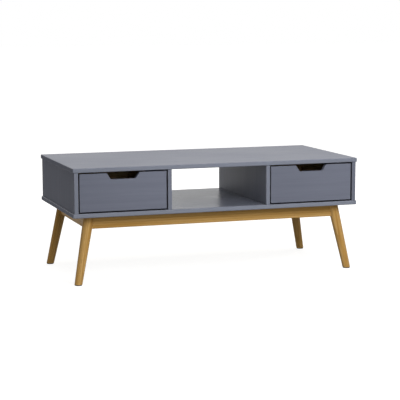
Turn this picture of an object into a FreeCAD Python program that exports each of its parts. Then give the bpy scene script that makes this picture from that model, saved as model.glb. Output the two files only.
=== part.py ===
import FreeCAD, Part
import os
import re
import Sketcher

from FreeCAD import Placement, Rotation, Vector

# A storage coffee table: a low cabinet with two drawers and an open middle niche, on a frame of splayed legs.
# The origin is on the floor under its middle, +X to the right, -Y to the front, +Z up. Lengths are in mm.

# Driving dimensions
SIZES = {
    # cabinet
    "table_width": "1106",
    "table_depth": "530",
    "leg_frame_height": "249",
    "top_thickness": "16",
    "floor_thickness": "16",
    "bay_height": "147",
    "end_overhang": "5",
    "upright_thickness": "15",
    "upright_setback": "1",
    "niche_width": "368",
    "board_edge_radius": "3",
    "upright_edge_radius": "1",
    # thin boards behind the drawer bays
    "back_thickness": "4",
    "back_inset": "10",
    "back_tongue": "5",
    # legs and their pads
    "leg_inset_x": "73",
    "leg_inset_y": "63",
    "leg_splay_x": "49.5",
    "leg_splay_y": "28.5",
    "leg_top_diameter": "40",
    "leg_foot_diameter": "29",
    "foot_edge_radius": "1",
    "glide_diameter": "27",
    "glide_thickness": "3",
    "glide_chamfer": "0.8",
    "glide_pin_diameter": "2.4",
    "glide_pin_length": "14",
    # rails and corner blocks
    "rail_height": "48",
    "rail_thickness": "18",
    "rail_bolt_clearance": "1.25",
    "rail_edge_radius": "2",
    "block_height": "40",
    "block_leg_clearance": "3",
    "block_thickness": "20",
    # drawers
    "drawer_gap": "4.5",
    "drawer_recess": "3",
    "drawer_front_thickness": "16",
    "drawer_front_edge_radius": "1.5",
    "drawer_side_thickness": "12",
    "drawer_side_clearance": "5.5",
    "drawer_side_lift": "8",
    "drawer_side_headroom": "34",
    "drawer_back_space": "57",
    "drawer_back_thickness": "12",
    "drawer_bottom_thickness": "4",
    "drawer_bottom_lift": "8",
    "drawer_bottom_tongue": "5",
    "notch_top_width": "123",
    "notch_bottom_width": "92",
    "notch_depth": "23.5",
    "notch_corner_radius": "8",
    # runners
    "runner_height": "14",
    "runner_back_space": "27",
    "runner_engagement": "6",
    "runner_side_clearance": "0.5",
    "runner_top_clearance": "0.3",
    "runner_under_clearance": "0.7",
    "runner_front_clearance": "0.3",
    "runner_screw_inset": "40",
    "runner_screw_length": "20",
    "runner_screw_diameter": "3.5",
    "runner_screw_head_diameter": "7",
    "runner_screw_head_height": "2.5",
    # wooden pegs
    "peg_diameter": "8",
    "peg_length": "30",
    "peg_seat": "10",
    "peg_chamfer": "1",
    "peg_row_spacing": "400",
    "drawer_peg_diameter": "6",
    "drawer_peg_length": "28",
    "drawer_peg_seat": "7",
    "drawer_peg_margin": "25",
    # cam fittings between the uprights and the top
    "cam_row_spacing": "250",
    "cam_reach": "26",
    "cam_disc_diameter": "15",
    "cam_back_wall": "3",
    "cam_thread_diameter": "6",
    "cam_thread_length": "10",
    "cam_shank_diameter": "4",
    "cam_head_diameter": "6.5",
    "cam_head_length": "4",
    # long screws through the cabinet floor into the uprights
    "carcass_screw_diameter": "5",
    "carcass_screw_length": "50",
    "carcass_screw_head_diameter": "9",
    "carcass_screw_head_height": "4",
    # screws through the rails into the cabinet floor
    "frame_screw_spacing_x": "300",
    "frame_screw_spacing_y": "200",
    "frame_screw_diameter": "4",
    "frame_screw_length": "30",
    "frame_screw_grip": "18",
    "frame_screw_head_diameter": "8",
    "frame_screw_head_height": "3",
    # bolts through the corner blocks into the legs
    "corner_bolt_diameter": "6",
    "corner_bolt_length": "68",
    "corner_bolt_tail": "12",
    "corner_washer_diameter": "18",
    "corner_washer_thickness": "1.5",
    "corner_nut_width": "10",
    "corner_nut_height": "5",
    # screws through the corner blocks into the rails
    "block_screw_offset": "38",
    "block_screw_diameter": "4",
    "block_screw_length": "22",
    "block_screw_grip": "8",
    "block_screw_head_diameter": "8",
    "block_screw_head_height": "3",
    # clearances
    "hole_clearance": "0.1",
    "hole_end_clearance": "0.3",
    "groove_clearance": "0.2",
    "cut_overrun": "5",
}

doc = FreeCAD.newDocument("storage_coffee_table")
sheet = doc.addObject("Spreadsheet::Sheet", "Sizes")
for row, (alias, number) in enumerate(SIZES.items(), start=1):
    sheet.set(f"A{row}", alias)
    sheet.set(f"B{row}", number)
    sheet.setAlias(f"B{row}", alias)
doc.recompute()

sub_parts = []


# Expressions

def bound(text):
    """The expression with every size's name pointed at its cell."""
    return re.sub("[a-z_]+", lambda word: f"Sizes.{word[0]}" if word[0] in SIZES else word[0], str(text))


def value(text):
    """What the expression comes to now."""
    return float(sheet.evalExpression(bound(text)))


def bind(part, **properties):
    """Ties properties of a document object to the sizes."""
    for name, text in properties.items():
        part.setExpression(name, bound(text))


def place(part, at, turn=Rotation()):
    """Puts a document object at a place tied to the sizes."""
    part.Placement = Placement(Vector(), turn)
    for axis, text in zip("xyz", at):
        part.setExpression(f"Placement.Base.{axis}", bound(text))


def towards(x, y, z):
    """The turn that points a piece's own Z axis in a direction."""
    return Rotation(Vector(0, 0, 1), Vector(x, y, z))


UP = towards(0, 0, 1)
DOWN = towards(0, 0, -1)

# How near two directions or two places have to be to count as one
PARALLEL_SHARE = 0.999
SAME_PLACE = 1e-6


# Sketches and features

def new_body(name):
    return doc.addObject("PartDesign::Body", name)


def new_sketch(body, role, offset=0):
    """A sketch on one of the body's own planes, shifted along that plane's normal."""
    plan = body.newObject("Sketcher::SketchObject", f"{body.Name}_sketch")
    plane = next(feature for feature in body.Origin.OriginFeatures if feature.Role == role)
    plan.AttachmentSupport = (plane, [""])
    plan.MapMode = "FlatFace"
    plan.setExpression("AttachmentOffset.Base.z", bound(offset))
    return plan


def pin(plan, index, corner, x, y):
    """Ties one point of a sketch to the sizes."""
    for kind, text in (("DistanceX", x), ("DistanceY", y)):
        constraint = plan.addConstraint(Sketcher.Constraint(kind, -1, 1, index, corner, value(text)))
        plan.setExpression(f"Constraints[{constraint}]", bound(text))


def outline(plan, points):
    """A closed outline of straight lines through the given corners."""
    corners = [Vector(value(x), value(y), 0) for x, y in points]
    first = plan.GeometryCount
    count = len(points)
    for index, corner in enumerate(corners):
        plan.addGeometry(Part.LineSegment(corner, corners[(index + 1) % count]), False)
    for index, (x, y) in enumerate(points):
        following = first + (index + 1) % count
        plan.addConstraint(Sketcher.Constraint("Coincident", first + index, 2, following, 1))
        pin(plan, first + index, 1, x, y)


def circle(plan, x, y, diameter):
    """A circle about a given middle."""
    middle = Vector(value(x), value(y), 0)
    index = plan.addGeometry(Part.Circle(middle, Vector(0, 0, 1), value(diameter) / 2), False)
    pin(plan, index, 3, x, y)
    constraint = plan.addConstraint(Sketcher.Constraint("Diameter", index, value(diameter)))
    plan.setExpression(f"Constraints[{constraint}]", bound(diameter))


def rectangle(plan, x, y):
    """A rectangle of the given sides about the sketch's origin."""
    sides = ((-1, -1), (1, -1), (1, 1), (-1, 1))
    outline(plan, [(f"{i} * ({x}) / 2", f"{j} * ({y}) / 2") for i, j in sides])


def pad(body, plan, length, both_ways=False):
    """Thickens a sketch, to one side or evenly to both."""
    feature = body.newObject("PartDesign::Pad", f"{body.Name}_pad")
    feature.Profile = plan
    feature.SideType = "Symmetric" if both_ways else "One side"
    bind(feature, Length=length)


def rounded(body, radius, wanted):
    """Rounds those edges of the body's last feature that a test picks."""
    doc.recompute()
    base = body.Tip
    names = [f"Edge{number}" for number, edge in enumerate(base.Shape.Edges, start=1) if wanted(edge)]
    feature = body.newObject("PartDesign::Fillet", f"{body.Name}_rounding")
    feature.Base = (base, names)
    bind(feature, Radius=radius)


def runs_along(axis):
    """A test for straight edges along an axis."""
    def wanted(edge):
        ends = [vertex.Point for vertex in edge.Vertexes]
        return len(ends) == 2 and abs((ends[1] - ends[0]).normalize().dot(axis)) > PARALLEL_SHARE
    return wanted


def lies_at(axis, height):
    """A test for edges in the plane square to an axis at a height along it."""
    def wanted(edge):
        return all(abs(vertex.Point.dot(axis) - height) < SAME_PLACE for vertex in edge.Vertexes)
    return wanted


def slab(name, size, at):
    """A board, centred in plan on its place and standing on its place's height."""
    body = new_body(name)
    plan = new_sketch(body, "XY_Plane")
    rectangle(plan, size[0], size[1])
    pad(body, plan, size[2])
    place(body, at)
    return body


def turned(name, start, stages):
    """A piece turned about its own Z axis. A stage gives the diameters at its two ends, and where it ends."""
    body = new_body(name)
    plan = new_sketch(body, "XZ_Plane")
    points = [("0", start)]
    height = start
    for first, last, end in stages:
        for diameter, level in ((first, height), (last, end)):
            corner = (f"({diameter}) / 2", level)
            if corner != points[-1]:
                points.append(corner)
        height = end
    points.append(("0", height))
    outline(plan, points)
    feature = body.newObject("PartDesign::Revolution", f"{name}_turn")
    feature.Profile = plan
    feature.ReferenceAxis = (plan, ["V_Axis"])
    return body


# A driver's cross: its reach, arm width and depth as shares of the head it is sunk into
CROSS_REACH = 0.6
CROSS_ARM = 0.15
CROSS_DEPTH = 0.2


def crossed(body, level, head):
    """Sinks a driver's cross upwards from a level into a head of a given diameter."""
    tip = f"({head} * {CROSS_REACH / 2})"
    arm = f"({head} * {CROSS_ARM / 2})"
    plan = new_sketch(body, "XY_Plane", level)
    outline(plan, [
        (arm, arm), (arm, tip), (f"-{arm}", tip), (f"-{arm}", arm),
        (f"-{tip}", arm), (f"-{tip}", f"-{arm}"), (f"-{arm}", f"-{arm}"), (f"-{arm}", f"-{tip}"),
        (arm, f"-{tip}"), (arm, f"-{arm}"), (tip, f"-{arm}"), (tip, arm),
    ])
    feature = body.newObject("PartDesign::Pocket", f"{body.Name}_cross")
    feature.Profile = plan
    feature.Reversed = True
    bind(feature, Length=f"{head} * {CROSS_DEPTH}")


# Assembly

def compound(name, members):
    part = doc.addObject("Part::Compound", name)
    part.Links = list(members)
    return part


def cut(name, base, tools):
    """The base without the space that the tools take."""
    part = doc.addObject("Part::Cut", name)
    part.Base = base
    part.Tool = compound(f"{name}_tools", tools)
    return part


def sub_part(label, part):
    part.Label = label
    sub_parts.append(part)
    return part


def spread(name, master, places):
    """Linked copies of one piece, by the keys of their places."""
    copies = {}
    for key, (at, turn) in places.items():
        copy = doc.addObject("App::Link", f"{name}_copy")
        copy.LinkedObject = master
        place(copy, at, turn)
        copies[key] = copy
    return copies


def picked(copies, test):
    """Those copies whose key passes a test."""
    return [copy for key, copy in copies.items() if test(key)]


# Shared places

SIDES = {"left": -1, "right": 1}
ENDS = {"front": -1, "back": 1}

bay_floor = "(leg_frame_height + floor_thickness)"
bay_ceiling = f"({bay_floor} + bay_height)"
end_x = "(table_width / 2 - end_overhang - upright_thickness / 2)"
divider_x = "((niche_width + upright_thickness) / 2)"
bay_width = "(table_width / 2 - end_overhang - 2 * upright_thickness - niche_width / 2)"
bay_x = f"(niche_width / 2 + upright_thickness + {bay_width} / 2)"
upright_depth = "(table_depth - 2 * upright_setback)"
back_face_y = "(table_depth / 2 - back_inset - back_thickness)"

# Each upright: its place along X, and the side its drawer bay is on
UPRIGHTS = {
    "left_end_panel": (f"-{end_x}", 1),
    "left_divider": (f"-{divider_x}", -1),
    "right_divider": (divider_x, 1),
    "right_end_panel": (end_x, -1),
}

leg_length = "(leg_frame_height - glide_thickness)"
leg_x = "(table_width / 2 - leg_inset_x)"
leg_y = "(table_depth / 2 - leg_inset_y)"
lean_x = f"(leg_splay_x / {leg_length})"
lean_y = f"(leg_splay_y / {leg_length})"
rail_x = f"({leg_x} + {lean_x} * rail_height / 2)"
rail_y = f"({leg_y} + {lean_y} * rail_height / 2)"
corner_x = f"({rail_x} - rail_thickness / 2)"
corner_y = f"({rail_y} - rail_thickness / 2)"
rail_end_offset = "(rail_thickness / 2 + sqrt(2) * (corner_bolt_diameter / 2 + rail_bolt_clearance))"
leg_past_corner = f"({leg_x} - {corner_x} + {leg_y} - {corner_y})"
block_setback = f"(sqrt(2) * (leg_top_diameter / 2 + block_leg_clearance) - {leg_past_corner})"
block_reach = f"({block_setback} + block_thickness * sqrt(2))"

drawer_face_y = "(-table_depth / 2 + drawer_recess)"
drawer_box_y = f"({drawer_face_y} + drawer_front_thickness)"
drawer_box_width = f"({bay_width} - 2 * drawer_side_clearance)"
drawer_inner_width = f"({drawer_box_width} - 2 * drawer_side_thickness)"
drawer_box_z = f"({bay_floor} + drawer_side_lift)"
drawer_side_height = "(bay_height - drawer_side_lift - drawer_side_headroom)"
drawer_end_y = f"({back_face_y} - drawer_back_space)"
drawer_side_length = f"({drawer_end_y} - {drawer_box_y})"
drawer_back_y = f"({drawer_end_y} - drawer_back_thickness)"

runner_width = "(drawer_side_clearance + runner_engagement)"
runner_y = f"({drawer_box_y} + runner_front_clearance)"
runner_length = f"({back_face_y} - runner_back_space - {runner_y})"
runner_z = f"({drawer_box_z} + ({drawer_side_height} - runner_height) / 2)"


# Wooden pegs between the uprights and the boards above and below

def peg_master(name, diameter, length, seat, chamfer, growth=0, end_growth=0):
    """A peg about its joint plane, or the hole for it: the seat lies on the negative side."""
    wide = f"({diameter} + 2 * {growth})"
    narrow = f"({wide} - 2 * {chamfer})"
    low = f"(-{seat} - {end_growth})"
    high = f"({length} - {seat} + {end_growth})"
    stages = [
        (narrow, wide, f"({low} + {chamfer})"),
        (wide, wide, f"({high} - {chamfer})"),
        (wide, narrow, high),
    ]
    return turned(name, low, stages)


peg_places = {}
for upright, (x, bay_side) in UPRIGHTS.items():
    for end, y_sign in ENDS.items():
        y = f"{y_sign} * peg_row_spacing / 2"
        peg_places[upright, "top", end] = ((x, y, bay_ceiling), DOWN)
        peg_places[upright, "floor", end] = ((x, y, bay_floor), UP)

peg = peg_master("peg", "peg_diameter", "peg_length", "peg_seat", "peg_chamfer")
peg_hole = peg_master(
    "peg_hole", "peg_diameter", "peg_length", "peg_seat", "peg_chamfer",
    "hole_clearance", "hole_end_clearance"
)
pegs = spread("peg", peg, peg_places)
peg_holes = spread("peg_hole", peg_hole, peg_places)
sub_part("panel_pegs", compound("panel_pegs", pegs.values()))


# Cam fittings: a bolt hangs from the top into a disc in each upright

cam_bolt_places = {}
cam_disc_places = {}
carcass_screw_places = {}
for upright, (x, bay_side) in UPRIGHTS.items():
    for end, y_sign in ENDS.items():
        y = f"{y_sign} * cam_row_spacing / 2"
        bay_face_x = f"{x} + {bay_side} * upright_thickness / 2"
        cam_bolt_places[upright, end] = ((x, y, bay_ceiling), DOWN)
        cam_disc_at = (bay_face_x, y, f"{bay_ceiling} - cam_reach")
        cam_disc_places[upright, end] = (cam_disc_at, towards(-bay_side, 0, 0))
        carcass_screw_places[upright, end] = ((x, y, "leg_frame_height"), UP)

cam_neck = "(cam_reach - cam_head_length)"
cam_bolt = turned("cam_bolt", "-cam_thread_length", [
    ("cam_thread_diameter", "cam_thread_diameter", "0"),
    ("cam_shank_diameter", "cam_shank_diameter", cam_neck),
    ("cam_head_diameter", "cam_head_diameter", "cam_reach"),
])
cam_thread_bore = "(cam_thread_diameter + 2 * hole_clearance)"
cam_head_bore = "(cam_head_diameter + 2 * hole_clearance)"
cam_bolt_hole = turned("cam_bolt_hole", "(-cam_thread_length - hole_end_clearance)", [
    (cam_thread_bore, cam_thread_bore, "0"),
    (cam_head_bore, cam_head_bore, "(cam_reach + hole_end_clearance)"),
])
cam_disc_depth = "(upright_thickness - cam_back_wall)"
cam_disc = turned("cam_disc", "0", [("cam_disc_diameter", "cam_disc_diameter", cam_disc_depth)])
crossed(cam_disc, "0", "(cam_disc_diameter / 2)")
cam_disc_bore = "(cam_disc_diameter + 2 * hole_clearance)"
cam_disc_hole = turned("cam_disc_hole", "-cut_overrun", [
    (cam_disc_bore, cam_disc_bore, f"({cam_disc_depth} + hole_clearance)"),
])
cam_bolts = spread("cam_bolt", cam_bolt, cam_bolt_places)
cam_bolt_holes = spread("cam_bolt_hole", cam_bolt_hole, cam_bolt_places)
cam_discs = spread("cam_disc", cam_disc, cam_disc_places)
cam_disc_holes = spread("cam_disc_hole", cam_disc_hole, cam_disc_places)
sub_part("cam_bolts", compound("cam_bolts", cam_bolts.values()))
cam_disc_blanks = compound("cam_disc_blanks", cam_discs.values())
sub_part("cam_discs", cut("cam_discs", cam_disc_blanks, cam_bolt_holes.values()))


# Long screws from under the cabinet floor into the uprights

carcass_screw = turned("carcass_screw", "0", [
    ("carcass_screw_head_diameter", "carcass_screw_head_diameter", "carcass_screw_head_height"),
    ("carcass_screw_diameter", "carcass_screw_diameter", "carcass_screw_length"),
])
crossed(carcass_screw, "0", "carcass_screw_head_diameter")
carcass_head_bore = "(carcass_screw_head_diameter + 2 * hole_clearance)"
carcass_shank_bore = "(carcass_screw_diameter + 2 * hole_clearance)"
carcass_screw_hole = turned("carcass_screw_hole", "-cut_overrun", [
    (carcass_head_bore, carcass_head_bore, "carcass_screw_head_height"),
    (carcass_shank_bore, carcass_shank_bore, "(carcass_screw_length + hole_end_clearance)"),
])
carcass_screws = spread("carcass_screw", carcass_screw, carcass_screw_places)
carcass_screw_holes = spread("carcass_screw_hole", carcass_screw_hole, carcass_screw_places)
sub_part("carcass_screws", compound("carcass_screws", carcass_screws.values()))


# Runners: a strip on each upright, on its drawer bay's side, held by three countersunk screws

runner_screw_places = {}
runner_blanks = {}
for upright, (x, bay_side) in UPRIGHTS.items():
    wall_x = f"({x} + {bay_side} * upright_thickness / 2)"
    middle_x = f"({wall_x} + {bay_side} * {runner_width} / 2)"
    face_x = f"({wall_x} + {bay_side} * {runner_width})"
    middle_y = f"({runner_y} + {runner_length} / 2)"
    runner_size = (runner_width, runner_length, "runner_height")
    runner_at = (middle_x, middle_y, runner_z)
    runner_blanks[upright] = slab(f"{upright}_runner_blank", runner_size, runner_at)
    for step in (-1, 0, 1):
        y = f"{middle_y} + {step} * ({runner_length} / 2 - runner_screw_inset)"
        z = f"{runner_z} + runner_height / 2"
        runner_screw_places[upright, step] = ((face_x, y, z), towards(-bay_side, 0, 0))

runner_screw = turned("runner_screw", "0", [
    ("runner_screw_head_diameter", "runner_screw_diameter", "runner_screw_head_height"),
    ("runner_screw_diameter", "runner_screw_diameter", "runner_screw_length"),
])
crossed(runner_screw, "0", "runner_screw_head_diameter")
runner_head_bore = "(runner_screw_head_diameter + 2 * hole_clearance)"
runner_shank_bore = "(runner_screw_diameter + 2 * hole_clearance)"
runner_screw_hole = turned("runner_screw_hole", "-cut_overrun", [
    (runner_head_bore, runner_head_bore, "0"),
    (runner_head_bore, runner_shank_bore, "runner_screw_head_height"),
    (runner_shank_bore, runner_shank_bore, "(runner_screw_length + hole_end_clearance)"),
])
runner_screws = spread("runner_screw", runner_screw, runner_screw_places)
runner_screw_holes = spread("runner_screw_hole", runner_screw_hole, runner_screw_places)
sub_part("runner_screws", compound("runner_screws", runner_screws.values()))

RUNNER_NAMES = {
    "left_end_panel": "left_bay_outer_runner",
    "left_divider": "left_bay_inner_runner",
    "right_divider": "right_bay_inner_runner",
    "right_end_panel": "right_bay_outer_runner",
}
for upright, label in RUNNER_NAMES.items():
    own_holes = picked(runner_screw_holes, lambda key: key[0] == upright)
    sub_part(label, cut(label, runner_blanks[upright], own_holes))


# Thin back boards, held in a groove all round

back_grooves = {}
for side, sign in SIDES.items():
    back_width = f"({bay_width} + 2 * back_tongue)"
    back_height = "(bay_height + 2 * back_tongue)"
    back_y = f"({back_face_y} + back_thickness / 2)"
    low_z = f"({bay_floor} - back_tongue)"
    label = f"{side}_back_panel"
    middle = f"{sign} * {bay_x}"
    board = slab(label, (back_width, "back_thickness", back_height), (middle, back_y, low_z))
    sub_part(label, board)
    groove_size = (
        f"({back_width} + 2 * groove_clearance)",
        "(back_thickness + 2 * groove_clearance)",
        f"({back_height} + 2 * groove_clearance)",
    )
    groove_at = (middle, back_y, f"{low_z} - groove_clearance")
    back_grooves[side] = slab(f"{side}_back_groove", groove_size, groove_at)


# Screws up through the rails into the cabinet floor

frame_screw_places = {}
for end, y_sign in ENDS.items():
    for step in (-1, 0, 1):
        at = (f"{step} * frame_screw_spacing_x", f"{y_sign} * {rail_y}", "leg_frame_height")
        frame_screw_places[end, step] = (at, UP)
for side, x_sign in SIDES.items():
    for step in (-1, 1):
        at = (f"{x_sign} * {rail_x}", f"{step} * frame_screw_spacing_y / 2", "leg_frame_height")
        frame_screw_places[side, step] = (at, UP)

frame_screw_end = "(-frame_screw_grip - frame_screw_head_height)"
frame_screw = turned("frame_screw", frame_screw_end, [
    ("frame_screw_head_diameter", "frame_screw_head_diameter", "-frame_screw_grip"),
    ("frame_screw_diameter", "frame_screw_diameter", "(frame_screw_length - frame_screw_grip)"),
])
crossed(frame_screw, frame_screw_end, "frame_screw_head_diameter")
frame_head_bore = "(frame_screw_head_diameter + 2 * hole_clearance)"
frame_shank_bore = "(frame_screw_diameter + 2 * hole_clearance)"
frame_screw_hole = turned("frame_screw_hole", "(-rail_height - cut_overrun)", [
    (frame_head_bore, frame_head_bore, "-frame_screw_grip"),
    (frame_shank_bore, frame_shank_bore, "(frame_screw_length - frame_screw_grip + hole_end_clearance)"),
])
frame_screws = spread("frame_screw", frame_screw, frame_screw_places)
frame_screw_holes = spread("frame_screw_hole", frame_screw_hole, frame_screw_places)
sub_part("frame_screws", compound("frame_screws", frame_screws.values()))


# Table top and cabinet floor

top_size = ("table_width", "table_depth", "top_thickness")
top_blank = slab("top_blank", top_size, ("0", "0", bay_ceiling))
rounded(top_blank, "board_edge_radius", lambda edge: True)
top_tools = picked(peg_holes, lambda key: key[1] == "top")
top_tools += cam_bolt_holes.values()
top_tools += back_grooves.values()
sub_part("top_panel", cut("top_panel", top_blank, top_tools))

floor_size = ("table_width", "table_depth", "floor_thickness")
floor_blank = slab("floor_blank", floor_size, ("0", "0", "leg_frame_height"))
rounded(floor_blank, "board_edge_radius", lambda edge: True)
floor_tools = picked(peg_holes, lambda key: key[1] == "floor")
floor_tools += carcass_screw_holes.values()
floor_tools += frame_screw_holes.values()
floor_tools += back_grooves.values()
sub_part("floor_panel", cut("floor_panel", floor_blank, floor_tools))


# End panels and dividers

for upright, (x, bay_side) in UPRIGHTS.items():
    blank = slab(f"{upright}_blank", ("upright_thickness", upright_depth, "bay_height"), (x, "0", bay_floor))
    rounded(blank, "upright_edge_radius", runs_along(Vector(0, 0, 1)))
    tools = []
    for holes in (peg_holes, cam_bolt_holes, cam_disc_holes, carcass_screw_holes, runner_screw_holes):
        tools += picked(holes, lambda key: key[0] == upright)
    tools.append(back_grooves[upright.split("_")[0]])
    sub_part(upright, cut(upright, blank, tools))


# Rails: boards between the legs, their ends cut to the legs' lean

def rail_blank(name, plane, leg_place, lean, at):
    """A rail hung from its upper edge, centred on its place."""
    body = new_body(name)
    plan = new_sketch(body, plane)
    upper = f"({leg_place} - {rail_end_offset})"
    lower = f"({upper} + {lean} * rail_height)"
    outline(plan, [(upper, "0"), (f"-{upper}", "0"), (f"-{lower}", "-rail_height"), (lower, "-rail_height")])
    pad(body, plan, "rail_thickness", both_ways=True)
    place(body, at)
    return body


block_screw_places = {}
for end, y_sign in ENDS.items():
    for side, x_sign in SIDES.items():
        z = "leg_frame_height - block_height / 2"
        along_x = (f"{x_sign} * ({corner_x} - block_screw_offset)", f"{y_sign} * {corner_y}", z)
        along_y = (f"{x_sign} * {corner_x}", f"{y_sign} * ({corner_y} - block_screw_offset)", z)
        block_screw_places[end, side, end] = (along_x, towards(0, y_sign, 0))
        block_screw_places[end, side, side] = (along_y, towards(x_sign, 0, 0))

block_screw_end = "(-block_screw_grip - block_screw_head_height)"
block_screw = turned("block_screw", block_screw_end, [
    ("block_screw_head_diameter", "block_screw_head_diameter", "-block_screw_grip"),
    ("block_screw_diameter", "block_screw_diameter", "(block_screw_length - block_screw_grip)"),
])
crossed(block_screw, block_screw_end, "block_screw_head_diameter")
block_head_bore = "(block_screw_head_diameter + 2 * hole_clearance)"
block_shank_bore = "(block_screw_diameter + 2 * hole_clearance)"
block_screw_hole = turned("block_screw_hole", f"(-{block_reach} - cut_overrun)", [
    (block_head_bore, block_head_bore, "-block_screw_grip"),
    (block_shank_bore, block_shank_bore, "(block_screw_length - block_screw_grip + hole_end_clearance)"),
])
block_screws = spread("block_screw", block_screw, block_screw_places)
block_screw_holes = spread("block_screw_hole", block_screw_hole, block_screw_places)
sub_part("block_screws", compound("block_screws", block_screws.values()))

RAILS = {}
for end, y_sign in ENDS.items():
    RAILS[end] = ("XZ_Plane", leg_x, lean_x, ("0", f"{y_sign} * {rail_y}", "leg_frame_height"))
for side, x_sign in SIDES.items():
    RAILS[side] = ("YZ_Plane", leg_y, lean_y, (f"{x_sign} * {rail_x}", "0", "leg_frame_height"))

rail_seats = {}
for where, (plane, leg_place, lean, at) in RAILS.items():
    rail_seats[where] = rail_blank(f"{where}_rail_seat", plane, leg_place, lean, at)
    blank = rail_blank(f"{where}_rail_blank", plane, leg_place, lean, at)
    along = Vector(1, 0, 0) if plane == "XZ_Plane" else Vector(0, 1, 0)
    lower_edge = lies_at(Vector(0, 0, 1), -value("rail_height"))
    along_rail = runs_along(along)
    rounded(blank, "rail_edge_radius", lambda edge: lower_edge(edge) and along_rail(edge))
    tools = picked(frame_screw_holes, lambda key: key[0] == where)
    tools += picked(block_screw_holes, lambda key: key[2] == where)
    sub_part(f"{where}_rail", cut(f"{where}_rail", blank, tools))


# Corners of the frame: block, bolt, leg and pad

bolt_places = {}
for end, y_sign in ENDS.items():
    for side, x_sign in SIDES.items():
        at = (
            f"{x_sign} * ({corner_x} - {block_reach} / 2)",
            f"{y_sign} * ({corner_y} - {block_reach} / 2)",
            "leg_frame_height - rail_height / 2",
        )
        bolt_places[end, side] = (at, towards(x_sign, y_sign, 0))

bolt_end = "(corner_bolt_length - corner_bolt_tail)"
corner_bolt = turned("corner_bolt", "-corner_bolt_tail", [
    ("corner_bolt_diameter", "corner_bolt_diameter", bolt_end),
])
bolt_bore = "(corner_bolt_diameter + 2 * hole_clearance)"
corner_bolt_hole = turned("corner_bolt_hole", "(-corner_bolt_tail - hole_end_clearance)", [
    (bolt_bore, bolt_bore, f"({bolt_end} + hole_end_clearance)"),
])
corner_bolts = spread("corner_bolt", corner_bolt, bolt_places)
corner_bolt_holes = spread("corner_bolt_hole", corner_bolt_hole, bolt_places)
sub_part("corner_bolts", compound("corner_bolts", corner_bolts.values()))

washer = new_body("corner_washer")
washer_plan = new_sketch(washer, "XY_Plane", "-corner_washer_thickness")
circle(washer_plan, "0", "0", "corner_washer_diameter")
circle(washer_plan, "0", "0", bolt_bore)
pad(washer, washer_plan, "corner_washer_thickness")
sub_part("corner_washers", compound("corner_washers", spread("corner_washer", washer, bolt_places).values()))

nut = new_body("corner_nut")
nut_plan = new_sketch(nut, "XY_Plane", "(-corner_washer_thickness - corner_nut_height)")
nut_corner = "(corner_nut_width / sqrt(3))"
hexagon = ((2, 0), (1, 1), (-1, 1), (-2, 0), (-1, -1), (1, -1))
outline(nut_plan, [(f"{i} * {nut_corner} / 2", f"{j} * corner_nut_width / 2") for i, j in hexagon])
circle(nut_plan, "0", "0", bolt_bore)
pad(nut, nut_plan, "corner_nut_height")
sub_part("corner_nuts", compound("corner_nuts", spread("corner_nut", nut, bolt_places).values()))

pin_top = "(glide_thickness + glide_pin_length)"
pin_bore = "(glide_pin_diameter + 2 * hole_clearance)"
glide_hole = turned("glide_hole", "0", [(pin_bore, pin_bore, f"({pin_top} + hole_end_clearance)")])
glide_rim = "(glide_diameter - 2 * glide_chamfer)"

for end, y_sign in ENDS.items():
    for side, x_sign in SIDES.items():
        corner = f"{end}_{side}"

        block = new_body(f"{corner}_block_blank")
        block_plan = new_sketch(block, "XY_Plane")
        outline(block_plan, [
            (f"-{x_sign} * {block_setback}", "0"),
            ("0", f"-{y_sign} * {block_setback}"),
            ("0", f"-{y_sign} * {block_reach}"),
            (f"-{x_sign} * {block_reach}", "0"),
        ])
        pad(block, block_plan, "block_height")
        place(block, (f"{x_sign} * {corner_x}", f"{y_sign} * {corner_y}", "leg_frame_height - block_height"))
        block_tools = picked(block_screw_holes, lambda key: key[:2] == (end, side))
        block_tools.append(corner_bolt_holes[end, side])
        sub_part(f"{corner}_corner_block", cut(f"{corner}_corner_block", block, block_tools))

        leg = new_body(f"{corner}_leg_blank")
        foot_x = f"{x_sign} * leg_splay_x"
        foot_y = f"{y_sign} * leg_splay_y"
        head_plan = new_sketch(leg, "XY_Plane")
        circle(head_plan, "0", "0", "leg_top_diameter")
        foot_plan = new_sketch(leg, "XY_Plane", f"-{leg_length}")
        circle(foot_plan, foot_x, foot_y, "leg_foot_diameter")
        taper = leg.newObject("PartDesign::AdditiveLoft", f"{corner}_leg_taper")
        taper.Profile = head_plan
        taper.Sections = [foot_plan]
        taper.Ruled = True
        place(leg, (f"{x_sign} * {leg_x}", f"{y_sign} * {leg_y}", "leg_frame_height"))
        rounded(leg, "foot_edge_radius", lies_at(Vector(0, 0, 1), -value(leg_length)))

        foot = (f"{x_sign} * ({leg_x} + leg_splay_x)", f"{y_sign} * ({leg_y} + leg_splay_y)", "0")
        pin_hole = spread(f"{corner}_glide_hole", glide_hole, {corner: (foot, UP)})[corner]
        leg_tools = [rail_seats[end], rail_seats[side], corner_bolt_holes[end, side], pin_hole]
        sub_part(f"{corner}_leg", cut(f"{corner}_leg", leg, leg_tools))

        glide = turned(f"{corner}_glide", "0", [
            (glide_rim, "glide_diameter", "glide_chamfer"),
            ("glide_diameter", "glide_diameter", "glide_thickness"),
            ("glide_pin_diameter", "glide_pin_diameter", pin_top),
        ])
        place(glide, foot)
        sub_part(f"{corner}_glide", glide)


# Drawers

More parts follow.
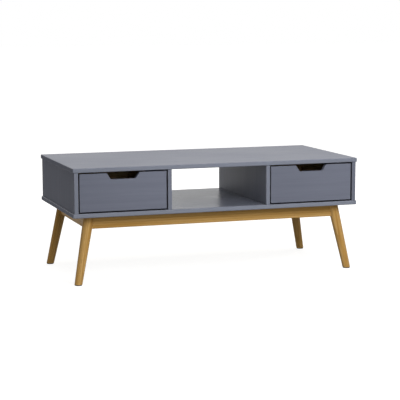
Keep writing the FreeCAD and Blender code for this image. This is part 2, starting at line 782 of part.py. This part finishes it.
def drawer_front_blank(name, at):
    """A front board from its rear face forwards, with the finger notch in its upper edge."""
    body = new_body(name)
    plan = new_sketch(body, "XZ_Plane")
    half = f"(({bay_width} - 2 * drawer_gap) / 2)"
    height = "(bay_height - 2 * drawer_gap)"
    notch_floor = f"({height} - notch_depth)"
    outline(plan, [
        (f"-{half}", "0"),
        (half, "0"),
        (half, height),
        ("notch_top_width / 2", height),
        ("notch_bottom_width / 2", notch_floor),
        ("-notch_bottom_width / 2", notch_floor),
        ("-notch_top_width / 2", height),
        (f"-{half}", height),
    ])
    pad(body, plan, "drawer_front_thickness")
    notch_level = lies_at(Vector(0, 0, 1), value(notch_floor))
    through = runs_along(Vector(0, 1, 0))
    rounded(body, "notch_corner_radius", lambda edge: notch_level(edge) and through(edge))
    rounded(body, "drawer_front_edge_radius", lies_at(Vector(0, -1, 0), value("drawer_front_thickness")))
    place(body, at)
    return body


drawer_peg = peg_master(
    "drawer_peg", "drawer_peg_diameter", "drawer_peg_length", "drawer_peg_seat", "peg_chamfer"
)
drawer_peg_hole = peg_master(
    "drawer_peg_hole", "drawer_peg_diameter", "drawer_peg_length", "drawer_peg_seat", "peg_chamfer",
    "hole_clearance", "hole_end_clearance"
)

for drawer_side, drawer_sign in SIDES.items():
    drawer = f"{drawer_side}_drawer"
    middle_x = f"{drawer_sign} * {bay_x}"

    peg_places = {}
    for side, sign in SIDES.items():
        board_x = f"{middle_x} + {sign} * ({drawer_box_width} - drawer_side_thickness) / 2"
        inner_x = f"{middle_x} + {sign} * {drawer_inner_width} / 2"
        back_y = f"{drawer_back_y} + drawer_back_thickness / 2"
        heights = {
            "low": f"{drawer_box_z} + drawer_peg_margin",
            "high": f"{drawer_box_z} + {drawer_side_height} - drawer_peg_margin",
        }
        for level, z in heights.items():
            peg_places[side, "front", level] = ((board_x, drawer_box_y, z), towards(0, 1, 0))
            peg_places[side, "back", level] = ((inner_x, back_y, z), towards(-sign, 0, 0))
    drawer_pegs = spread(f"{drawer}_peg", drawer_peg, peg_places)
    drawer_peg_holes = spread(f"{drawer}_peg_hole", drawer_peg_hole, peg_places)
    sub_part(f"{drawer}_pegs", compound(f"{drawer}_pegs", drawer_pegs.values()))

    bottom_width = f"({drawer_inner_width} + 2 * drawer_bottom_tongue)"
    bottom_depth = f"({drawer_back_y} - {drawer_box_y} + 2 * drawer_bottom_tongue)"
    bottom_y = f"(({drawer_back_y} + {drawer_box_y}) / 2)"
    bottom_z = f"({drawer_box_z} + drawer_bottom_lift)"
    bottom_size = (bottom_width, bottom_depth, "drawer_bottom_thickness")
    groove_size = [f"({length} + 2 * groove_clearance)" for length in bottom_size]
    groove_at = (middle_x, bottom_y, f"{bottom_z} - groove_clearance")
    bottom_groove = slab(f"{drawer}_bottom_groove", groove_size, groove_at)
    sub_part(f"{drawer}_bottom", slab(f"{drawer}_bottom", bottom_size, (middle_x, bottom_y, bottom_z)))

    front = drawer_front_blank(f"{drawer}_front_blank", (middle_x, drawer_box_y, f"{bay_floor} + drawer_gap"))
    front_tools = picked(drawer_peg_holes, lambda key: key[1] == "front")
    front_tools.append(bottom_groove)
    sub_part(f"{drawer}_front", cut(f"{drawer}_front", front, front_tools))

    back_at = (middle_x, f"{drawer_back_y} + drawer_back_thickness / 2", drawer_box_z)
    back_size = (drawer_inner_width, "drawer_back_thickness", drawer_side_height)
    back = slab(f"{drawer}_back_blank", back_size, back_at)
    back_tools = picked(drawer_peg_holes, lambda key: key[1] == "back")
    back_tools.append(bottom_groove)
    sub_part(f"{drawer}_back", cut(f"{drawer}_back", back, back_tools))

    for side, sign in SIDES.items():
        board_at = (
            f"{middle_x} + {sign} * ({drawer_box_width} - drawer_side_thickness) / 2",
            f"{drawer_box_y} + {drawer_side_length} / 2",
            drawer_box_z,
        )
        board_size = ("drawer_side_thickness", drawer_side_length, drawer_side_height)
        board = slab(f"{drawer}_{side}_side_blank", board_size, board_at)
        slot_size = (
            "2 * (runner_engagement + runner_side_clearance)",
            f"({drawer_side_length} + 2 * cut_overrun)",
            "(runner_height + runner_top_clearance + runner_under_clearance)",
        )
        slot_at = (
            f"{middle_x} + {sign} * {drawer_box_width} / 2",
            board_at[1],
            f"{runner_z} - runner_under_clearance",
        )
        slot = slab(f"{drawer}_{side}_runner_slot", slot_size, slot_at)
        tools = picked(drawer_peg_holes, lambda key: key[0] == side)
        tools += [bottom_groove, slot]
        sub_part(f"{drawer}_{side}_side", cut(f"{drawer}_{side}_side", board, tools))


# Test every object and write the sub-parts

doc.recompute()
for part in doc.Objects:
    if "Invalid" in part.State or "Error" in part.State:
        raise RuntimeError(f"{part.Label} failed: {part.State}")
for part in sub_parts:
    if part.Shape.isNull() or not part.Shape.isValid():
        raise RuntimeError(f"{part.Label} has no valid shape")

os.makedirs("parts", exist_ok=True)
for part in sub_parts:
    part.Shape.exportStep(f"parts/{part.Label}.step")
    print(part.Label, len(part.Shape.Solids), round(part.Shape.Volume, 1))
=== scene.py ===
import math
from collections import namedtuple
from itertools import count

import bpy
from mathutils import Matrix, Vector


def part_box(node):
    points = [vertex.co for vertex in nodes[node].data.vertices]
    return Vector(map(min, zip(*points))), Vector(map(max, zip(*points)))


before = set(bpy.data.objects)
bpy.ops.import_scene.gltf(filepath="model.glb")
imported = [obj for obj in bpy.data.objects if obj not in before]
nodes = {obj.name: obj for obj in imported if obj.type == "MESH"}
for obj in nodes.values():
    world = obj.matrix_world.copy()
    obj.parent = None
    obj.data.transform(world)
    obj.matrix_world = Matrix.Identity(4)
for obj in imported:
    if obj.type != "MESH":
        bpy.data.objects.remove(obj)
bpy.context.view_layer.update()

scene = bpy.context.scene
scene.view_settings.view_transform = "Standard"

X, Y, Z = range(3)
ALONG = ((1, 0, 0), (0, 1, 0), (0, 0, 1))
ENDS = ("front", "back")
SIDES = ("left", "right")


def colour(red, green, blue):
    return (red, green, blue, 1.0)


def shade(tone, share):
    """A tone made darker, or lighter with a share over 1."""
    return colour(*[share * channel for channel in tone[:3]])


def dress(node, material):
    mesh = nodes[node].data
    mesh.materials.clear()
    mesh.materials.append(material)


def middle_of(node):
    low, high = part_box(node)
    return (low + high) / 2


class Finish:
    """A material under construction."""

    def __init__(self, name):
        self.material = bpy.data.materials.new(name)
        self.material.use_nodes = True
        self.tree = self.material.node_tree
        self.shader = self.tree.nodes["Principled BSDF"]

    def feed(self, socket, value):
        """Gives a socket a plain value or another node's output."""
        if isinstance(value, bpy.types.NodeSocket):
            self.tree.links.new(value, socket)
        else:
            socket.default_value = value

    def surface(self, **values):
        """Sets the shader's sockets, named with underscores for spaces."""
        for name, value in values.items():
            self.feed(self.shader.inputs[name.replace("_", " ")], value)

    def math(self, operation, a, b=0.0):
        node = self.tree.nodes.new("ShaderNodeMath")
        node.operation = operation
        self.feed(node.inputs[0], a)
        self.feed(node.inputs[1], b)
        return node.outputs[0]

    def vector(self, operation, a, b=(0, 0, 0)):
        node = self.tree.nodes.new("ShaderNodeVectorMath")
        node.operation = operation
        self.feed(node.inputs[0], a)
        self.feed(node.inputs[1], b)
        return node.outputs[0]

    def parts(self, vector):
        node = self.tree.nodes.new("ShaderNodeSeparateXYZ")
        self.feed(node.inputs[0], vector)
        return node.outputs

    def place(self):
        """The point on the piece, in the row frame at rest."""
        return self.tree.nodes.new("ShaderNodeTexCoord").outputs["Object"]

    def facing(self, axis):
        """How squarely the face looks along an axis, either way."""
        normal = self.tree.nodes.new("ShaderNodeNewGeometry").outputs["Normal"]
        return self.math("ABSOLUTE", self.parts(normal)[axis])

    def turned(self, vector, direction):
        """The vector in a frame whose Z axis runs along a direction."""
        node = self.tree.nodes.new("ShaderNodeVectorRotate")
        node.rotation_type = "EULER_XYZ"
        self.feed(node.inputs["Vector"], vector)
        turn = Vector(direction).rotation_difference(Vector((0, 0, 1))).to_euler()
        self.feed(node.inputs["Rotation"], turn)
        return node.outputs[0]

    def scaled(self, vector, scale, shift=(0, 0, 0)):
        node = self.tree.nodes.new("ShaderNodeMapping")
        self.feed(node.inputs["Vector"], vector)
        self.feed(node.inputs["Scale"], scale)
        self.feed(node.inputs["Location"], shift)
        return node.outputs[0]

    def noise(self, vector, scale, shift, detail, roughness, distortion=0.0):
        """Cloudy noise, with its own scale along each axis."""
        node = self.tree.nodes.new("ShaderNodeTexNoise")
        self.feed(node.inputs["Vector"], self.scaled(vector, scale, shift))
        self.feed(node.inputs["Scale"], 1.0)
        self.feed(node.inputs["Detail"], detail)
        self.feed(node.inputs["Roughness"], roughness)
        self.feed(node.inputs["Distortion"], distortion)
        return node.outputs[0]

    def rings(self, vector):
        """Growth rings about the Z axis, each darkest at its outer side."""
        node = self.tree.nodes.new("ShaderNodeTexWave")
        node.wave_type = "RINGS"
        node.rings_direction = "Z"
        node.wave_profile = "SAW"
        self.feed(node.inputs["Vector"], vector)
        self.feed(node.inputs["Scale"], 1.0)
        self.feed(node.inputs["Distortion"], 1.6)
        self.feed(node.inputs["Detail"], 2.0)
        self.feed(node.inputs["Detail Scale"], 0.6)
        return node.outputs[1]

    def ramp(self, value, low, high, to_low=0.0, to_high=1.0):
        """The value carried smoothly from one range to another."""
        node = self.tree.nodes.new("ShaderNodeMapRange")
        node.interpolation_type = "SMOOTHSTEP"
        self.feed(node.inputs["Value"], value)
        self.feed(node.inputs["From Min"], low)
        self.feed(node.inputs["From Max"], high)
        self.feed(node.inputs["To Min"], to_low)
        self.feed(node.inputs["To Max"], to_high)
        return node.outputs[0]

    def mixed(self, share, a, b, blend="MIX"):
        node = self.tree.nodes.new("ShaderNodeMix")
        node.data_type = "RGBA"
        node.blend_type = blend
        self.feed(node.inputs[0], share)
        self.feed(node.inputs[6], a)
        self.feed(node.inputs[7], b)
        return node.outputs[2]

    def bump(self, height, strength, distance):
        node = self.tree.nodes.new("ShaderNodeBump")
        self.feed(node.inputs["Strength"], strength)
        self.feed(node.inputs["Distance"], distance)
        self.feed(node.inputs["Height"], height)
        return node.outputs[0]

    def painted_shade(self, reach, strength):
        """Painted shade: the strength deep in a gap or an inner corner narrower than the reach, 0 in the open."""
        node = self.tree.nodes.new("ShaderNodeAmbientOcclusion")
        node.samples = 8
        self.feed(node.inputs["Distance"], reach)
        return self.ramp(node.outputs["AO"], 0.2, 0.75, strength, 0)

    def edge_distance(self, low, high):
        """How far a point on a board lies from the board's nearest edge."""
        middle = (low + high) / 2
        half = (high - low) / 2
        away = self.vector("ABSOLUTE", self.vector("SUBTRACT", self.place(), middle))
        x, y, z = self.parts(self.vector("SUBTRACT", tuple(half), away))
        nearer = self.math("MINIMUM", x, y)
        farther = self.math("MAXIMUM", x, y)
        return self.math("MAXIMUM", nearer, self.math("MINIMUM", farther, z))


# Painted boards

PAINT_DARK = colour(0.122, 0.132, 0.171)
PAINT_LIGHT = colour(0.142, 0.153, 0.196)
PAINT_GRAIN = colour(0.112, 0.121, 0.156)
PAINT_CLOUD = colour(0.145, 0.156, 0.199)
# paler paint for edges that face the front or the back, a painted highlight
PAINT_EDGE_HIGHLIGHT = colour(0.2, 0.218, 0.265)
PAINT_WORN = colour(0.27, 0.285, 0.32)
# near black painted deep in gaps and inner corners, as painted shade
PAINT_GAP_SHADE = colour(0.01, 0.01, 0.011)
EDGE_ROUGHNESS = 0.9
WORN_WIDTH = 0.0028
WORN_SHARE = 0.35
# how far the painted shade in gaps reaches
PAINT_SHADE_REACH = 0.011
# how fine each pattern is: twice across the grain, then along it
PAINT_STREAKS = (55, 55, 1.6)
PAINT_FINE = (420, 420, 9)
PAINT_CLOUDS = (3, 3, 3)
PAINT_RUBS = (35, 35, 35)

Board = namedtuple("Board", "grain thin roughness gloss pale_edge drift")


def painted(name, node, board, seed):
    """Satin grey paint on a board. The grain shows through as faint streaks. The narrow edges are rougher, and paler
    where they face the front or the back, a painted highlight."""
    finish = Finish(name)
    low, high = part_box(node)
    along = finish.turned(finish.place(), ALONG[board.grain])
    shift = (seed * 1.7, seed * 2.3, seed * 0.9)
    streaks = finish.noise(along, PAINT_STREAKS, shift, detail=4, roughness=0.55, distortion=0.4)
    fine = finish.noise(along, PAINT_FINE, shift, detail=3, roughness=0.6)
    cloud = finish.noise(finish.place(), PAINT_CLOUDS, shift, detail=2, roughness=0.5)
    base = finish.mixed(finish.ramp(streaks, 0.2, 0.8), PAINT_DARK, PAINT_LIGHT)
    base = finish.mixed(finish.ramp(fine, 0.35, 0.75, 0, 0.35), base, PAINT_GRAIN)
    base = finish.mixed(finish.ramp(cloud, 0.3, 0.7, 0, 0.3), base, PAINT_CLOUD)
    if board.drift:
        across = finish.parts(finish.place())[X]
        rightward = finish.ramp(across, low.x, high.x, 1 - board.drift, 1 + board.drift)
        base = finish.mixed(1.0, base, rightward, "MULTIPLY")

    narrow = finish.ramp(finish.facing(board.thin), 0.35, 0.8, 1, 0)
    # painted highlight: narrow faces that look to the front or the back get paler paint
    pale = finish.math("MULTIPLY", narrow, finish.ramp(finish.facing(Y), 0.35, 0.8, 0, board.pale_edge))
    base = finish.mixed(pale, base, PAINT_EDGE_HIGHLIGHT)
    rub = finish.noise(finish.place(), PAINT_RUBS, shift, detail=4, roughness=0.65)
    rim = finish.ramp(finish.edge_distance(low, high), 0.0, WORN_WIDTH, 1, 0)
    worn = finish.math("MULTIPLY", rim, finish.ramp(rub, 0.42, 0.68, 0, WORN_SHARE))
    base = finish.mixed(worn, base, PAINT_WORN)
    # painted shade: the paint goes near black deep in gaps and inner corners, from ambient occlusion
    base = finish.mixed(finish.painted_shade(PAINT_SHADE_REACH, 1), base, PAINT_GAP_SHADE)

    patchy = finish.ramp(cloud, 0.3, 0.7, board.roughness - 0.03, board.roughness + 0.03)
    sheen = finish.math("ADD", finish.ramp(fine, 0.2, 0.8, -0.05, 0.05), patchy)
    rougher = finish.math("MULTIPLY", narrow, EDGE_ROUGHNESS - board.roughness)
    relief = finish.math("ADD", fine, finish.math("MULTIPLY", streaks, 0.6))
    finish.surface(
        Base_Color=base,
        Roughness=finish.math("ADD", sheen, rougher),
        Specular_IOR_Level=board.gloss,
        Normal=finish.bump(relief, strength=0.12, distance=0.0006),
    )
    return finish.material


# Each board: the axis its grain runs along, the axis it is thin along, its roughness and gloss, how strong
# the painted highlight on its front and back edges is, and how much the paint gets paler from the board's left to
# its right
PAINTED = {
    "top_panel": Board(X, Z, 0.46, 0.25, 0.64, 0),
    "floor_panel": Board(X, Z, 0.29, 0.35, 0.76, 0),
    "left_end_panel": Board(Z, X, 0.6, 0.04, 0.58, 0),
    "right_end_panel": Board(Z, X, 0.6, 0.04, 0.12, 0),
    "left_divider": Board(Z, X, 0.55, 0.3, 0.27, 0),
    "right_divider": Board(Z, X, 0.55, 0.3, 0.48, 0),
    "left_drawer_front": Board(X, Y, 0.5, 0.15, 0, 0.05),
    "right_drawer_front": Board(X, Y, 0.5, 0.15, 0, 0.05),
}
for seed, (node, board) in enumerate(PAINTED.items(), start=1):
    dress(node, painted(f"grey_paint.{node}", node, board, seed))

BACK_DARK = colour(0.135, 0.143, 0.172)
BACK_LIGHT = colour(0.165, 0.174, 0.205)
BACK_FIBRE = colour(0.122, 0.129, 0.153)


def back_paint(name, seed):
    """Matt grey paint on thin pressed board."""
    finish = Finish(name)
    shift = (seed, seed * 1.3, seed * 0.7)
    cloud = finish.noise(finish.place(), (6, 6, 6), shift, detail=3, roughness=0.55)
    fibre = finish.noise(finish.place(), (700, 700, 700), shift, detail=2, roughness=0.6)
    base = finish.mixed(finish.ramp(cloud, 0.3, 0.7), BACK_DARK, BACK_LIGHT)
    base = finish.mixed(finish.ramp(fibre, 0.4, 0.75, 0, 0.3), base, BACK_FIBRE)
    finish.surface(
        Base_Color=base,
        Roughness=finish.ramp(fibre, 0.2, 0.8, 0.58, 0.72),
        Specular_IOR_Level=0.4,
        Normal=finish.bump(fibre, strength=0.1, distance=0.0003),
    )
    return finish.material


for seed, side in enumerate(SIDES, start=11):
    dress(f"{side}_back_panel", back_paint(f"back_paint.{side}", seed))


# Bare and stained wood, each with a dark, a middle and a light tone

GOLDEN = (colour(0.23, 0.1, 0.019), colour(0.405, 0.224, 0.058), colour(0.555, 0.35, 0.13))
PINE = (colour(0.34, 0.21, 0.1), colour(0.52, 0.37, 0.2), colour(0.62, 0.47, 0.28))
PLY = (colour(0.36, 0.24, 0.125), colour(0.47, 0.34, 0.19), colour(0.56, 0.42, 0.25))
HARD = (colour(0.27, 0.165, 0.08), colour(0.42, 0.28, 0.15), colour(0.5, 0.35, 0.2))
BEECH = (colour(0.4, 0.26, 0.14), colour(0.55, 0.38, 0.22), colour(0.62, 0.45, 0.28))

Wood = namedtuple("Wood", "tones ring_gap roughness coat")
LEG_WOOD = Wood(GOLDEN, 0.0045, 0.46, 0.04)
RAIL_WOOD = Wood(GOLDEN, 0.005, 0.46, 0.04)
BLOCK_WOOD = Wood(GOLDEN, 0.004, 0.5, 0.0)
DRAWER_WOOD = Wood(PINE, 0.006, 0.55, 0.0)
DRAWER_PLY = Wood(PLY, 0.011, 0.6, 0.0)
RUNNER_WOOD = Wood(HARD, 0.003, 0.38, 0.0)
PEG_WOOD = Wood(BEECH, 0.002, 0.55, 0.0)

# at scale 1 the wave pattern repeats every 2 pi / 20
WAVE_LENGTH = 2 * math.pi / 20
RING_STRETCH = 0.03
RING_SHARE = 0.45
# how fine each pattern is: twice across the grain, then along it
WOOD_STREAKS = (90, 90, 2.2)
WOOD_PORES = (1100, 1100, 26)
WOOD_CLOUDS = (9, 9, 3)
# painted shade in gaps and inner corners: how far it reaches, how much it darkens, and how dark it is next to the
# dark tone
WOOD_SHADE_REACH = 0.004
WOOD_SHADE_SHARE = 0.5
WOOD_GAP_SHADE = 0.3


def timber(name, wood, direction, pith, seed):
    """Wood with growth rings about a pith line, long streaks, fine pores and a soft sheen."""
    dark, middle, light = wood.tones
    finish = Finish(name)
    shift = (seed * 2.1, seed * 1.1, seed * 0.6)
    centred = finish.vector("SUBTRACT", finish.place(), tuple(pith))
    along = finish.turned(centred, direction)
    ring_scale = WAVE_LENGTH / wood.ring_gap
    rings = finish.rings(finish.scaled(along, (ring_scale, ring_scale, ring_scale * RING_STRETCH)))
    streaks = finish.noise(along, WOOD_STREAKS, shift, detail=4, roughness=0.55, distortion=0.5)
    pores = finish.noise(along, WOOD_PORES, shift, detail=2, roughness=0.6)
    cloud = finish.noise(along, WOOD_CLOUDS, shift, detail=2, roughness=0.5)
    base = finish.mixed(finish.ramp(streaks, 0.28, 0.72), middle, light)
    base = finish.mixed(finish.ramp(rings, 0.55, 1.0, 0, RING_SHARE), base, dark)
    base = finish.mixed(finish.ramp(cloud, 0.35, 0.75, 0, 0.35), base, middle)
    base = finish.mixed(finish.ramp(pores, 0.58, 0.8, 0, 0.5), base, dark)
    # painted shade: the wood darkens deep in gaps and inner corners
    gap_shade = finish.painted_shade(WOOD_SHADE_REACH, WOOD_SHADE_SHARE)
    base = finish.mixed(gap_shade, base, shade(dark, WOOD_GAP_SHADE))
    relief = finish.math("SUBTRACT", finish.math("MULTIPLY", streaks, 0.4), finish.ramp(pores, 0.5, 0.8))
    finish.surface(
        Base_Color=base,
        Roughness=finish.ramp(streaks, 0.25, 0.75, wood.roughness - 0.06, wood.roughness + 0.06),
        Specular_IOR_Level=0.06,
        Coat_Weight=wood.coat,
        Coat_Roughness=0.35,
        Normal=finish.bump(relief, strength=0.15, distance=0.0004),
    )
    return finish.material


LEG_HEAD_RADIUS = 0.02
seeds = count(21)

for end in ENDS:
    for side in SIDES:
        leg, block = f"{end}_{side}_leg", f"{end}_{side}_corner_block"
        low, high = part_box(leg)
        glide = middle_of(f"{end}_{side}_glide")
        out_x = math.copysign(1, glide.x)
        out_y = math.copysign(1, glide.y)
        # the leg leans from the middle of its head to the middle of its pad
        inner = Vector((low.x if out_x > 0 else high.x, low.y if out_y > 0 else high.y, high.z))
        head = inner + LEG_HEAD_RADIUS * Vector((out_x, out_y, 0))
        foot = Vector((glide.x, glide.y, low.z))
        seed = next(seeds)
        pith = head + Vector((0.035 * out_x, 0.05 - 0.004 * ((seed - 1) % 5), 0))
        dress(leg, timber(f"leg_wood.{end}_{side}", LEG_WOOD, foot - head, pith, seed))
        pith = middle_of(block) + Vector((0, 0, 0.06))
        dress(block, timber(f"leg_wood.{block}", BLOCK_WOOD, (out_x, -out_y, 0), pith, next(seeds)))

for where, axis in (("front", X), ("back", X), ("left", Y), ("right", Y)):
    rail = f"{where}_rail"
    seed = next(seeds)
    pith = middle_of(rail) + Vector((0.03, 0.04, 0.02 + 0.004 * (seed % 3)))
    dress(rail, timber(f"leg_wood.{rail}", RAIL_WOOD, ALONG[axis], pith, seed))

for side in SIDES:
    for board, axis in (("left_side", Y), ("right_side", Y), ("back", X)):
        node = f"{side}_drawer_{board}"
        seed = next(seeds)
        pith = middle_of(node) + Vector((0.02, 0.03, 0.05 + 0.01 * (seed % 4)))
        dress(node, timber(f"drawer_wood.{node}", DRAWER_WOOD, ALONG[axis], pith, seed))
    bottom = f"{side}_drawer_bottom"
    pith = middle_of(bottom) + Vector((0, 0.05, 0.035))
    dress(bottom, timber(f"drawer_ply.{bottom}", DRAWER_PLY, ALONG[X], pith, next(seeds)))
    pegs = f"{side}_drawer_pegs"
    dress(pegs, timber(f"peg_wood.{side}", PEG_WOOD, ALONG[Y], middle_of(pegs), next(seeds)))
    for part in ("outer", "inner"):
        runner = f"{side}_bay_{part}_runner"
        pith = middle_of(runner) + Vector((0.02, 0, 0.03))
        dress(runner, timber(f"runner_wood.{runner}", RUNNER_WOOD, ALONG[Y], pith, next(seeds)))

panel_pith = middle_of("panel_pegs")
dress("panel_pegs", timber("peg_wood.panels", PEG_WOOD, ALONG[Z], panel_pith, next(seeds)))


# Metal and plastic

STEEL = colour(0.62, 0.62, 0.63)
ZINC = colour(0.56, 0.57, 0.59)
PAD = colour(0.035, 0.03, 0.026)


def metal(name, tone, roughness, seed):
    """Plated metal with fine scratches and dull patches."""
    finish = Finish(name)
    shift = (seed, seed * 0.6, seed * 1.9)
    patches = finish.noise(finish.place(), (160, 160, 160), shift, detail=4, roughness=0.6)
    scratches = finish.noise(finish.place(), (2600, 2600, 240), shift, detail=2, roughness=0.55)
    dull = finish.ramp(patches, 0.25, 0.75, roughness - 0.07, roughness + 0.1)
    finish.surface(
        Base_Color=finish.mixed(finish.ramp(patches, 0.3, 0.7), shade(tone, 0.82), tone),
        Metallic=1.0,
        Roughness=finish.math("ADD", dull, finish.ramp(scratches, 0.4, 0.8, 0, 0.08)),
        Normal=finish.bump(scratches, strength=0.1, distance=0.0001),
    )
    return finish.material


steel = metal("steel", STEEL, roughness=0.34, seed=3)
for node in (
    "cam_bolts", "carcass_screws", "runner_screws", "frame_screws",
    "block_screws", "corner_bolts", "corner_washers", "corner_nuts",
):
    dress(node, steel)
dress("cam_discs", metal("zinc", ZINC, roughness=0.48, seed=5))


def plastic(name, tone, seed):
    """Matt moulded plastic, a little scuffed."""
    finish = Finish(name)
    shift = (seed, seed * 1.4, seed * 0.3)
    grain = finish.noise(finish.place(), (1800, 1800, 1800), shift, detail=2, roughness=0.6)
    scuffs = finish.noise(finish.place(), (110, 110, 110), shift, detail=4, roughness=0.65)
    finish.surface(
        Base_Color=finish.mixed(finish.ramp(scuffs, 0.45, 0.75, 0, 0.4), tone, shade(tone, 1.9)),
        Roughness=finish.ramp(scuffs, 0.3, 0.75, 0.5, 0.68),
        Normal=finish.bump(grain, strength=0.15, distance=0.0002),
    )
    return finish.material


pad_plastic = plastic("foot_pad", PAD, seed=7)
for end in ENDS:
    for side in SIDES:
        dress(f"{end}_{side}_glide", pad_plastic)


# Camera: where the photograph was taken from, looking a little down and to the right

CAMERA_AT = Vector((-1.7008, -5.0551, 0.9926))
YAW, PITCH, ROLL = (math.radians(angle) for angle in (18.727, 7.851, -0.115))
SENSOR_WIDTH = 36
FOCAL_LENGTH = 125.43
SIGHT = 200

forward = Vector((math.sin(YAW) * math.cos(PITCH), math.cos(YAW) * math.cos(PITCH), -math.sin(PITCH)))
level = Vector((math.cos(YAW), -math.sin(YAW), 0))
upward = level.cross(forward)
right = math.cos(ROLL) * level + math.sin(ROLL) * upward
upward = math.cos(ROLL) * upward - math.sin(ROLL) * level

lens = bpy.data.cameras.new("camera")
lens.sensor_width = SENSOR_WIDTH
lens.lens = FOCAL_LENGTH
lens.clip_end = SIGHT
camera = bpy.data.objects.new("camera", lens)
turn = Matrix((right, upward, -forward)).transposed().to_4x4()
camera.matrix_world = Matrix.Translation(CAMERA_AT) @ turn
scene.collection.objects.link(camera)
scene.camera = camera


# Lamps

AIM = Vector((0, 0, 0.3))
PLAIN = (1, 1, 1)
WARM = (1, 0.955, 0.86)


def lamp(name, azimuth, elevation, distance, size, power, tint):
    """A soft square lamp aimed at the table. It doesn't show itself, to the camera or in a reflection."""
    around, above = math.radians(azimuth), math.radians(elevation)
    away = Vector((math.sin(around) * math.cos(above), -math.cos(around) * math.cos(above), math.sin(above)))
    light = bpy.data.lights.new(name, "AREA")
    light.shape = "SQUARE"
    light.size = size
    light.energy = power
    light.color = tint
    holder = bpy.data.objects.new(name, light)
    turn = away.to_track_quat("Z", "Y").to_matrix().to_4x4()
    holder.matrix_world = Matrix.Translation(AIM + away * distance) @ turn
    holder.visible_camera = False
    holder.visible_glossy = False
    scene.collection.objects.link(holder)


# Azimuth, 0 in front and 90 to the right, elevation, distance, size, power and tint
lamp("overhead", 0, 85, 3.0, 2.6, 58, WARM)
lamp("key", 12, 28, 2.0, 0.8, 16, PLAIN)
lamp("front", -6, 20, 4.2, 2.4, 75, PLAIN)
lamp("front_right", 35, 30, 3.0, 1.2, 5, PLAIN)
lamp("side_right", 125, 20, 3.4, 2.0, 38, WARM)
lamp("side_left", -105, 18, 3.4, 2.0, 9, WARM)
lamp("behind", 172, 22, 3.6, 2.4, 34, WARM)


# Floor and surround: white to the camera and in reflections

AMBIENT = 0.17
AMBIENT_TINT = colour(1, 0.98, 0.94)
WHITE = colour(1, 1, 1)
# the floor as it bounces light back, and as it is seen, with a glow that makes up the rest of its white
FLOOR_BOUNCE = colour(0.2, 0.2, 0.2)
FLOOR_SEEN = colour(0.3, 0.3, 0.3)
GLOW_NEAR, GLOW_FAR = 0.84, 1.0
NEAR, FAR = 0.7, 2.2
FLOOR_REACH = 30


def seen_share(tree):
    """1 for what the camera sees, straight, through glass or in a reflection."""
    path = tree.nodes.new("ShaderNodeLightPath").outputs
    share = path["Is Camera Ray"]
    for kind in ("Is Glossy Ray", "Is Transmission Ray"):
        most = tree.nodes.new("ShaderNodeMath")
        most.operation = "MAXIMUM"
        tree.links.new(share, most.inputs[0])
        tree.links.new(path[kind], most.inputs[1])
        share = most.outputs[0]
    return share


def mix_shader(tree, share, a, b):
    node = tree.nodes.new("ShaderNodeMixShader")
    tree.links.new(share, node.inputs[0])
    tree.links.new(a, node.inputs[1])
    tree.links.new(b, node.inputs[2])
    return node.outputs[0]


def background(tree, tone, strength):
    node = tree.nodes.new("ShaderNodeBackground")
    node.inputs["Color"].default_value = tone
    node.inputs["Strength"].default_value = strength
    return node.outputs[0]


def diffuse(tree, tone):
    node = tree.nodes.new("ShaderNodeBsdfDiffuse")
    node.inputs["Color"].default_value = tone
    return node.outputs[0]


def floor_glow(tree):
    """A white glow, a little weaker around the table than far from it."""
    away = tree.nodes.new("ShaderNodeVectorMath")
    away.operation = "LENGTH"
    tree.links.new(tree.nodes.new("ShaderNodeTexCoord").outputs["Object"], away.inputs[0])
    whiten = tree.nodes.new("ShaderNodeMapRange")
    whiten.interpolation_type = "SMOOTHSTEP"
    whiten.inputs["From Min"].default_value = NEAR
    whiten.inputs["From Max"].default_value = FAR
    whiten.inputs["To Min"].default_value = GLOW_NEAR
    whiten.inputs["To Max"].default_value = GLOW_FAR
    tree.links.new(away.outputs["Value"], whiten.inputs["Value"])
    glow = tree.nodes.new("ShaderNodeEmission")
    tree.links.new(whiten.outputs[0], glow.inputs["Strength"])
    return glow.outputs[0]


world = bpy.data.worlds.new("studio")
world.use_nodes = True
scene.world = world
tree = world.node_tree
tree.nodes.clear()
output = tree.nodes.new("ShaderNodeOutputWorld")
ambient = background(tree, AMBIENT_TINT, AMBIENT)
around = mix_shader(tree, seen_share(tree), ambient, background(tree, WHITE, 1.0))
tree.links.new(around, output.inputs["Surface"])

corners = [(x * FLOOR_REACH, y * FLOOR_REACH, 0) for x, y in ((-1, -1), (1, -1), (1, 1), (-1, 1))]
floor_mesh = bpy.data.meshes.new("floor")
floor_mesh.from_pydata(corners, [], [(0, 1, 2, 3)])
floor = bpy.data.objects.new("floor", floor_mesh)
scene.collection.objects.link(floor)
pale = bpy.data.materials.new("pale_floor")
pale.use_nodes = True
floor_mesh.materials.append(pale)
tree = pale.node_tree
tree.nodes.clear()
output = tree.nodes.new("ShaderNodeOutputMaterial")
lit = tree.nodes.new("ShaderNodeAddShader")
tree.links.new(diffuse(tree, FLOOR_SEEN), lit.inputs[0])
tree.links.new(floor_glow(tree), lit.inputs[1])
above = mix_shader(tree, seen_share(tree), diffuse(tree, FLOOR_BOUNCE), lit.outputs[0])
# from below the floor is clear, so that the table's underside can be seen
below = tree.nodes.new("ShaderNodeNewGeometry").outputs["Backfacing"]
clear = tree.nodes.new("ShaderNodeBsdfTransparent").outputs[0]
tree.links.new(mix_shader(tree, below, above, clear), output.inputs["Surface"])
